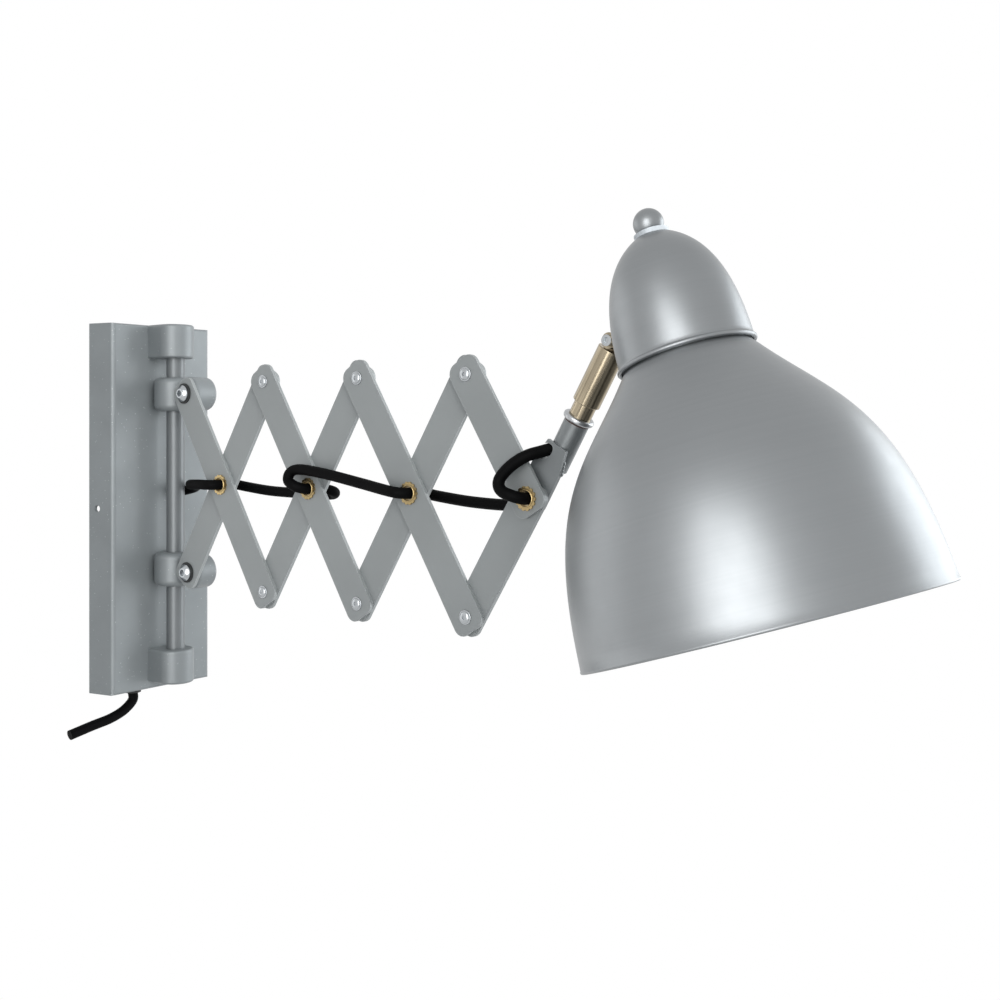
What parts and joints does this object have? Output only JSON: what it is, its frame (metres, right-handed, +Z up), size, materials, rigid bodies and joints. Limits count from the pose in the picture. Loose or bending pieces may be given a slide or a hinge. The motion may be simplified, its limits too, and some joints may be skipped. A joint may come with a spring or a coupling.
{
  "type": "accordion wall lamp",
  "caption": "Wall lamp with a scissor arm on an upright rod, a cord woven through its eyelets, and a bell shade on a brass swivel.",
  "frame": {"origin": "centre of the wall plate's wall face", "axes": "+X out of the wall into the room, +Y along the wall, +Z up"},
  "size_m": [0.5374, 0.1682, 0.3001],
  "materials": {
    "grey_paint": "satin metallic grey with fine sparkle",
    "rod_grey": "satin grey",
    "bar_grey": "satin metallic grey",
    "bracket_grey": "satin grey",
    "shade_silver": "satin silver paint",
    "pale_washer": "satin",
    "bright_ring": "polished",
    "brown_fibre": "matt",
    "polished_brass": "polished",
    "eyelet_brass": "polished",
    "shell_brass": "satin",
    "zinc": "bright zinc",
    "plain_steel": "satin",
    "dark_steel": "blackened",
    "dark_washer": "matt",
    "pale_plastic": "satin",
    "black_plastic": "satin",
    "black_rubber": "matt",
    "cord_black": "satin",
    "ceramic": "glazed"
  },
  "bodies": {
    "wall": {"wall_plate": "grey_paint", "lugs": "grey_paint", "wall_bracket": "plain_steel", "lock_screw": "plain_steel", "terminal_block": "pale_plastic", "lead_clamp": "black_plastic", "plate_bushings": "black_rubber", "inside_cords": "cord_black", "mains_lead": "cord_black"},
    "post": {"rod": "rod_grey", "top_collar": "grey_paint", "collar_grub_screw": "dark_steel", "top_pivot_screw": "zinc", "top_pivot_washer": "dark_washer", "arm_cord_rod": "cord_black"},
    "front_1": {"front_bar_1": "bar_grey", "rivets_1": "zinc", "eyelet_1": "eyelet_brass", "arm_cord_first": "cord_black"},
    "back_1": {"back_bar_1": "bar_grey", "arm_cord_1": "cord_black"},
    "slider": {"bottom_collar": "grey_paint", "bottom_pivot_screw": "zinc", "bottom_pivot_washer": "dark_washer"},
    "front_2": {"front_bar_2": "bar_grey", "rivets_2": "zinc", "eyelet_2": "eyelet_brass", "arm_cord_2": "cord_black"},
    "back_2": {"back_bar_2": "bar_grey"},
    "front_3": {"front_bar_3": "bar_grey", "rivets_3": "zinc", "eyelet_3": "eyelet_brass"},
    "back_3": {"back_bar_3": "bar_grey", "arm_cord_3": "cord_black"},
    "front_4": {"front_bar_4": "bar_grey", "rivets_4": "zinc"},
    "back_4": {"back_bar_4": "bar_grey"},
    "end_eyelet": {"eyelet_4": "eyelet_brass", "arm_cord_4": "cord_black"},
    "head": {"head_bracket": "bracket_grey", "ring_washer": "brown_fibre", "bracket_ring": "bright_ring", "swivel_tube": "polished_brass", "head_cord": "cord_black"},
    "swivel": {"swivel_sleeve": "polished_brass", "sleeve_ear": "polished_brass", "head_wire": "cord_black"},
    "shade": {"shade_ear": "polished_brass", "shade_nuts": "plain_steel", "shade_bell": "shade_silver", "shade_dome": "shade_silver", "finial_washer": "pale_washer", "finial": "shade_silver", "wire_bushing": "black_rubber", "holder_stem": "plain_steel", "holder_cap": "black_plastic", "holder_shell": "black_plastic", "holder_core": "ceramic", "screw_shell": "shell_brass", "knuckle_screw": "zinc"}
  },
  "joints": [
    {"name": "arm_swing", "type": "hinge", "parent": "wall", "child": "post", "pos_m": [0.034, 0, 0], "axis": [0, 0, 1], "range_deg": [-75, 75], "deforming": ["arm_cord_rod"]},
    {"name": "fold", "type": "hinge", "parent": "post", "child": "front_1", "pos_m": [0.059, 0, 0.0742], "axis": [0, 1, 0], "range_deg": [-21.5, 17], "deforming": ["arm_cord_first"]},
    {"name": "cross_1", "type": "hinge", "parent": "front_1", "child": "back_1", "pos_m": [0.09477, 0, 0.01696], "axis": [0, 1, 0], "range_deg": [-34, 43]},
    {"name": "slide_pivot", "type": "hinge", "parent": "back_1", "child": "slider", "pos_m": [0.059, 0, -0.04029], "axis": [0, 1, 0], "range_deg": [-21.5, 17]},
    {"name": "foot_1", "type": "hinge", "parent": "front_1", "child": "back_2", "pos_m": [0.13425, 0, -0.04622], "axis": [0, 1, 0], "range_deg": [-34, 43]},
    {"name": "crest_1", "type": "hinge", "parent": "back_1", "child": "front_2", "pos_m": [0.13425, 0, 0.08014], "axis": [0, 1, 0], "range_deg": [-43, 34], "deforming": ["arm_cord_1"]},
    {"name": "crest_2", "type": "hinge", "parent": "back_2", "child": "front_3", "pos_m": [0.21321, 0, 0.08014], "axis": [0, 1, 0], "range_deg": [-43, 34]},
    {"name": "foot_2", "type": "hinge", "parent": "front_2", "child": "back_3", "pos_m": [0.21321, 0, -0.04622], "axis": [0, 1, 0], "range_deg": [-34, 43], "deforming": ["arm_cord_2"]},
    {"name": "foot_3", "type": "hinge", "parent": "front_3", "child": "back_4", "pos_m": [0.29216, 0, -0.04622], "axis": [0, 1, 0], "range_deg": [-34, 43]},
    {"name": "crest_3", "type": "hinge", "parent": "back_3", "child": "front_4", "pos_m": [0.29216, 0, 0.08014], "axis": [0, 1, 0], "range_deg": [-43, 34], "deforming": ["arm_cord_3"]},
    {"name": "end_level", "type": "hinge", "parent": "front_4", "child": "end_eyelet", "pos_m": [0.33164, 0, 0.01696], "axis": [0, 1, 0], "range_deg": [-17, 21.5]},
    {"name": "head_tilt", "type": "hinge", "parent": "end_eyelet", "child": "head", "pos_m": [0.33164, 0, 0.01696], "axis": [0, 1, 0], "range_deg": [-45, 45], "deforming": ["arm_cord_4"]},
    {"name": "head_turn", "type": "hinge", "parent": "head", "child": "swivel", "pos_m": [0.33164, 0, 0.01696], "axis": [0.5075, 0, 0.8616], "range_deg": [-90, 90]},
    {"name": "shade_tilt", "type": "hinge", "parent": "swivel", "child": "shade", "pos_m": [0.37707, 0, 0.09407], "axis": [0, 1, 0], "range_deg": [-60, 15], "deforming": ["head_wire"]}
  ],
  "couplings": [
    {"joint": "cross_1", "follows": "fold", "ratio": -2},
    {"joint": "slide_pivot", "follows": "fold", "ratio": 1},
    {"joint": "foot_1", "follows": "fold", "ratio": -2},
    {"joint": "crest_1", "follows": "fold", "ratio": 2},
    {"joint": "crest_2", "follows": "fold", "ratio": 2},
    {"joint": "foot_2", "follows": "fold", "ratio": -2},
    {"joint": "foot_3", "follows": "fold", "ratio": -2},
    {"joint": "crest_3", "follows": "fold", "ratio": 2},
    {"joint": "end_level", "follows": "fold", "ratio": -1}
  ]
}
